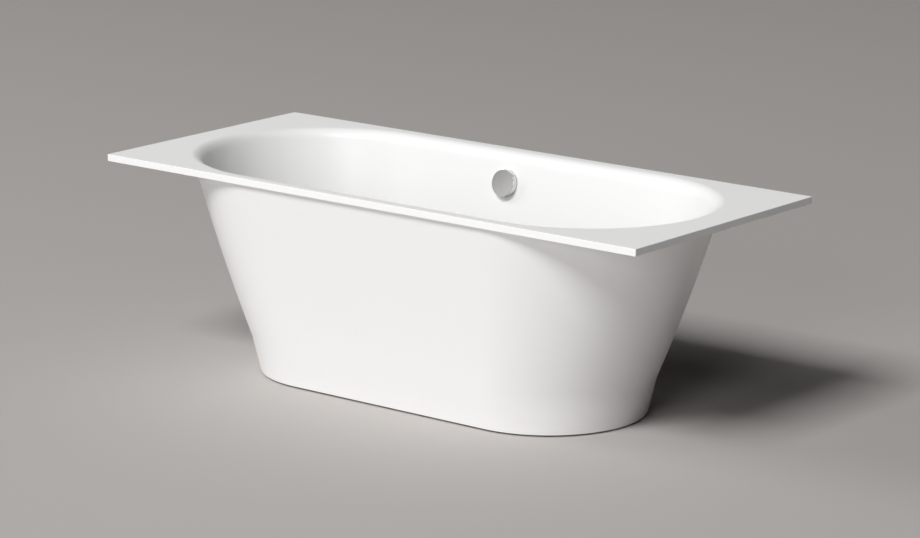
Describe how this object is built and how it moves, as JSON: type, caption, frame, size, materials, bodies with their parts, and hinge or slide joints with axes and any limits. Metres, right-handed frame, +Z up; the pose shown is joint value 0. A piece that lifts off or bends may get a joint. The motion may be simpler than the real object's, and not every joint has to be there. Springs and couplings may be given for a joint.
{
  "type": "built_in_bathtub",
  "caption": "Built-in bathtub: flat rectangular rim, long oval basin, tapered oval skirt, overflow knob that lifts the plug.",
  "frame": {"origin": "centre of the bottom bounding box, on the floor under the pads", "axes": "+X along the bath, +Y towards the wall side with the overflow, +Z up"},
  "size_m": [1.75, 0.75, 0.575],
  "materials": {
    "casting": "satin",
    "adhesive": "matte",
    "galvanised_steel": "satin",
    "zinc_screw": "gloss",
    "foot": "satin",
    "chrome": "polished",
    "moulding_grey": "satin",
    "moulding_white": "satin",
    "moulding_black": "satin",
    "seal": "matte"
  },
  "bodies": {
    "tub": {"basin": "casting", "skirt": "casting", "skirt_bond": "adhesive", "rail_left": "galvanised_steel", "rail_right": "galvanised_steel", "rail_screws": "zinc_screw", "support_nuts": "zinc_screw", "lock_nuts": "zinc_screw", "overflow_flange": "chrome", "overflow_gasket": "seal", "overflow_body": "moulding_grey", "overflow_pipe": "moulding_white", "slip_nut": "moulding_grey", "cable_sheath": "moulding_black", "waste_flange": "chrome", "waste_gasket": "seal", "waste_body": "moulding_grey"},
    "knob": {"overflow_knob": "chrome", "control_spindle": "moulding_white"},
    "plug": {"plug_cap": "chrome", "plug_seal": "seal", "plug_stem": "galvanised_steel"},
    "wedge": {"lift_wedge": "moulding_white"},
    "foot_front_left": {"foot_1": "foot"},
    "foot_back_left": {"foot_2": "foot"},
    "foot_front_right": {"foot_3": "foot"},
    "foot_back_right": {"foot_4": "foot"}
  },
  "joints": [
    {"name": "foot_front_left_screw", "type": "slide", "parent": "tub", "child": "foot_front_left", "axis": [0, 0, -1], "range_m": [-0.004, 0.015]},
    {"name": "foot_back_left_screw", "type": "slide", "parent": "tub", "child": "foot_back_left", "axis": [0, 0, -1], "range_m": [-0.004, 0.015]},
    {"name": "foot_front_right_screw", "type": "slide", "parent": "tub", "child": "foot_front_right", "axis": [0, 0, -1], "range_m": [-0.004, 0.015]},
    {"name": "foot_back_right_screw", "type": "slide", "parent": "tub", "child": "foot_back_right", "axis": [0, 0, -1], "range_m": [-0.004, 0.015]},
    {"name": "knob_turn", "type": "hinge", "parent": "tub", "child": "knob", "pos_m": [-0.056, 0.30555, 0.493], "axis": [0, -0.9756, 0.2195], "range_deg": [0, 90]},
    {"name": "plug_lift", "type": "slide", "parent": "tub", "child": "plug", "axis": [0, 0, 1], "range_m": [0, 0.01]},
    {"name": "wedge_pull", "type": "slide", "parent": "tub", "child": "wedge", "axis": [0.5, 0.866, 0], "range_m": [0, 0.01]}
  ],
  "couplings": [
    {"joint": "plug_lift", "follows": "knob_turn", "m_per_rad": 0.0063662},
    {"joint": "wedge_pull", "follows": "knob_turn", "m_per_rad": 0.0063662}
  ]
}
